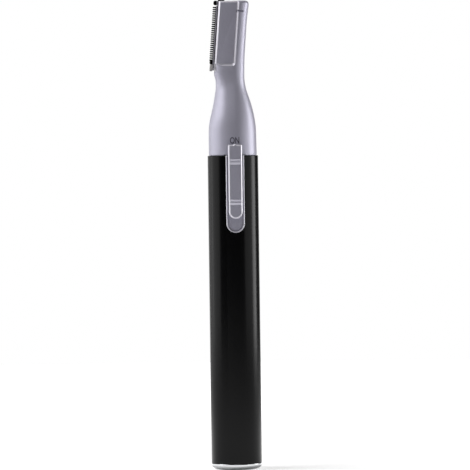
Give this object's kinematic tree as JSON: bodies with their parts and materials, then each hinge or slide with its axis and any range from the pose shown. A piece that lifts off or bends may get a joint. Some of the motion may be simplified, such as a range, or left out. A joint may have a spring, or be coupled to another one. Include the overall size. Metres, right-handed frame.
{
  "type": "electric eyebrow trimmer",
  "caption": "Pen-shaped cell-powered eyebrow trimmer with a side comb blade in a removable cassette, a slide switch and a pull-off end cap.",
  "frame": {"origin": "centre of the flat base, under the end cap", "axes": "+Z along the pen from the end cap to the head; -Y is the front, with the switch; -X is the side of the blade edge"},
  "size_m": [0.015, 0.0163, 0.1396],
  "materials": {
    "black_barrel": "satin black anodised",
    "lavender_plastic": "glossy lavender grey moulding with a pearl sheen",
    "chromed_cap": "polished",
    "black_blade": "blackened",
    "bright_steel": "plain",
    "plated_brass": "plated",
    "ferrite": "sintered, dark",
    "white_nylon": "moulded",
    "dark_plastic": "moulded",
    "cell_jacket": "satin jacket"
  },
  "bodies": {
    "handle": {"barrel_tube": "black_barrel", "battery_liner": "dark_plastic", "battery_cell": "cell_jacket", "negative_strip": "plated_brass", "motor_contact": "plated_brass", "positive_contact": "plated_brass", "motor_can": "bright_steel", "motor_end_bell": "white_nylon", "magnet_left": "ferrite", "magnet_right": "ferrite", "brush_left": "plated_brass", "brush_right": "plated_brass", "motor_bush": "plated_brass", "chassis": "dark_plastic", "switch_surround": "lavender_plastic", "head_shell_front": "lavender_plastic", "head_shell_back": "lavender_plastic", "rocker_pin": "bright_steel"},
    "switch": {"slide_button": "lavender_plastic", "switch_carrier": "white_nylon", "moving_contact": "plated_brass"},
    "rotor": {"motor_shaft": "bright_steel", "motor_armature": "bright_steel", "motor_commutator": "plated_brass", "eccentric": "white_nylon"},
    "rocker": {"rocker": "white_nylon"},
    "cassette": {"blade_cassette": "lavender_plastic", "fixed_comb": "black_blade", "comb_guard": "bright_steel", "cutter_spring": "bright_steel"},
    "cutter": {"moving_cutter": "bright_steel", "cutter_block": "white_nylon"},
    "cap": {"end_cap": "chromed_cap", "battery_spring": "bright_steel"}
  },
  "joints": [
    {"name": "switch_slide", "type": "slide", "parent": "handle", "child": "switch", "axis": [0, 0, 1], "range_m": [-0.0035, 0]},
    {"name": "rotor_spin", "type": "hinge", "parent": "handle", "child": "rotor", "pos_m": [0, 0, 0.0815], "axis": [0, 0, 1], "continuous": true},
    {"name": "rocker_swing", "type": "hinge", "parent": "handle", "child": "rocker", "pos_m": [0.00114, 0, 0.12214], "axis": [0, 1, 0], "range_deg": [-2.9, 2.9]},
    {"name": "cassette_pull", "type": "slide", "parent": "handle", "child": "cassette", "axis": [-0.9969, 0, 0.0785], "range_m": [0, 0.006]},
    {"name": "cutter_slide", "type": "slide", "parent": "cassette", "child": "cutter", "axis": [0.0785, 0, 0.9969], "range_m": [-0.0002, 0.0002]},
    {"name": "end_cap_pull", "type": "slide", "parent": "handle", "child": "cap", "axis": [0, 0, -1], "range_m": [0, 0.012]}
  ],
  "couplings": [
    {"joint": "rocker_swing", "follows": "cutter_slide", "rad_per_m": 250}
  ]
}
